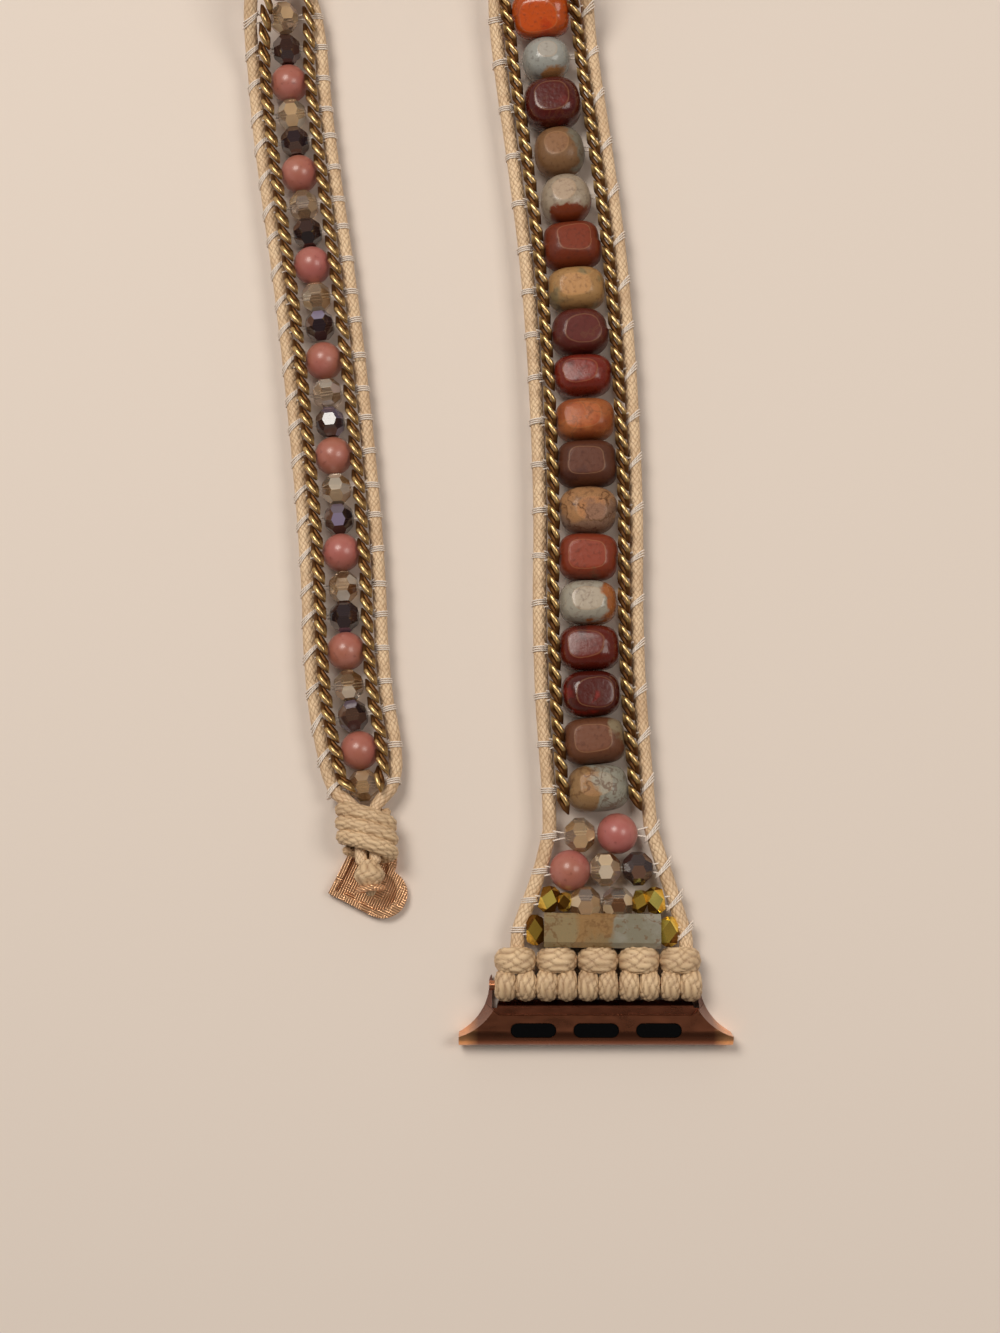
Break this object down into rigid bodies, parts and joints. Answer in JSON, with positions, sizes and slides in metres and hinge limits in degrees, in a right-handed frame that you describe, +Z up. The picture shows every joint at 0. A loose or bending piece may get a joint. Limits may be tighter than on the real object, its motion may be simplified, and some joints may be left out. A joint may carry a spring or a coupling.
{
  "type": "beaded watch strap",
  "caption": "Beaded wrap watch strap laid in a U, with a rose-gold watch adapter, stone nuggets and crystals stitched between cords, curb chains and a heart button.",
  "frame": {"origin": "centre of the adapter's flat resting face", "axes": "+X across the strap, towards the right in the picture; +Y from the adapter along the strap to the bend; +Z up, out of the strap's back, which faces up"},
  "size_m": [0.0638, 0.1739, 0.0154],
  "materials": {
    "rose_gold": "satin",
    "black_rubber": "satin",
    "spring_steel": "satin",
    "waxed_cord": "waxed",
    "white_thread": "matte",
    "pink_stone": "polished",
    "smoky_crystal": "polished",
    "dark_crystal": "polished",
    "gold_bead": "satin",
    "antique_brass": "antique",
    "jasper": "polished",
    "banded_stone": "polished"
  },
  "bodies": {
    "adapter": {"adapter_body": "rose_gold", "adapter_bar": "rose_gold", "friction_pads": "black_rubber", "lock_spring": "spring_steel"},
    "lock": {"lock_button": "black_rubber"},
    "strap1": {"hitch_cord": "waxed_cord", "fan_threads": "white_thread", "fan_pink": "pink_stone", "fan_crystals": "smoky_crystal", "fan_dark": "dark_crystal", "fan_gold": "gold_bead", "stone_bar": "banded_stone", "strap1_nuggets": "jasper", "strap1_cords": "waxed_cord", "strap1_chains": "antique_brass", "strap1_threads": "white_thread"},
    "strap2": {"strap2_nuggets": "jasper", "strap2_cords": "waxed_cord", "strap2_chains": "antique_brass", "strap2_threads": "white_thread"},
    "strap3": {"strap3_nuggets": "jasper", "strap3_cords": "waxed_cord", "strap3_chains": "antique_brass", "strap3_threads": "white_thread"},
    "strap4": {"strap4_pink": "pink_stone", "strap4_crystals": "smoky_crystal", "strap4_dark": "dark_crystal", "strap4_cords": "waxed_cord", "strap4_chains": "antique_brass", "strap4_threads": "white_thread"},
    "strap5": {"strap5_pink": "pink_stone", "strap5_crystals": "smoky_crystal", "strap5_dark": "dark_crystal", "strap5_cords": "waxed_cord", "strap5_chains": "antique_brass", "strap5_threads": "white_thread"},
    "strap6": {"strap6_pink": "pink_stone", "strap6_crystals": "smoky_crystal", "strap6_dark": "dark_crystal", "strap6_cords": "waxed_cord", "strap6_chains": "antique_brass", "strap6_threads": "white_thread"},
    "strap7": {"strap7_pink": "pink_stone", "strap7_crystals": "smoky_crystal", "strap7_dark": "dark_crystal", "strap7_cords": "waxed_cord", "strap7_chains": "antique_brass", "strap7_threads": "white_thread"},
    "knot": {"wrap_knot": "waxed_cord", "loop_cord": "waxed_cord"},
    "button": {"heart_button": "rose_gold"}
  },
  "joints": [
    {"name": "adapter_swing", "type": "hinge", "parent": "adapter", "child": "strap1", "pos_m": [0, 0.005, 0.0026], "axis": [1, 0, 0], "range_deg": [-30, 30]},
    {"name": "lock_press", "type": "slide", "parent": "adapter", "child": "lock", "axis": [0, 0, -1], "range_m": [0, 0.0006], "deforming": ["lock_spring"]},
    {"name": "flex_a", "type": "hinge", "parent": "strap1", "child": "strap2", "pos_m": [-0.00096, 0.08091, 0.00372], "axis": [0.999, 0.0447, 0], "range_deg": [-12, 12]},
    {"name": "flex_b", "type": "hinge", "parent": "strap2", "child": "strap3", "pos_m": [-0.00691, 0.13714, 0.00612], "axis": [0.9512, -0.0457, 0.3052], "range_deg": [-12, 12]},
    {"name": "bend_c", "type": "hinge", "parent": "strap3", "child": "strap4", "pos_m": [-0.01021, 0.15627, 0.00728], "axis": [-0.0644, 0.2573, 0.9642], "range_deg": [-12, 2]},
    {"name": "bend_d", "type": "hinge", "parent": "strap4", "child": "strap5", "pos_m": [-0.02993, 0.16794, 0.00591], "axis": [0, 0, 1], "range_deg": [-14, 2]},
    {"name": "bend_e", "type": "hinge", "parent": "strap5", "child": "strap6", "pos_m": [-0.04234, 0.14862, 0.00595], "axis": [-0.017, 0.0454, 0.9988], "range_deg": [-12, 2]},
    {"name": "flex_f", "type": "hinge", "parent": "strap6", "child": "strap7", "pos_m": [-0.03551, 0.0889, 0.0032], "axis": [-0.9924, -0.123, 0], "range_deg": [-12, 12]},
    {"name": "flex_g", "type": "hinge", "parent": "strap7", "child": "knot", "pos_m": [-0.02909, 0.02787, 0.00367], "axis": [-0.9961, -0.0886, 0], "range_deg": [-12, 12]},
    {"name": "button_swing", "type": "hinge", "parent": "knot", "child": "button", "pos_m": [-0.02818, 0.01695, 0.00418], "axis": [0.0856, -0.9961, 0.0208], "range_deg": [-20, 20]}
  ]
}
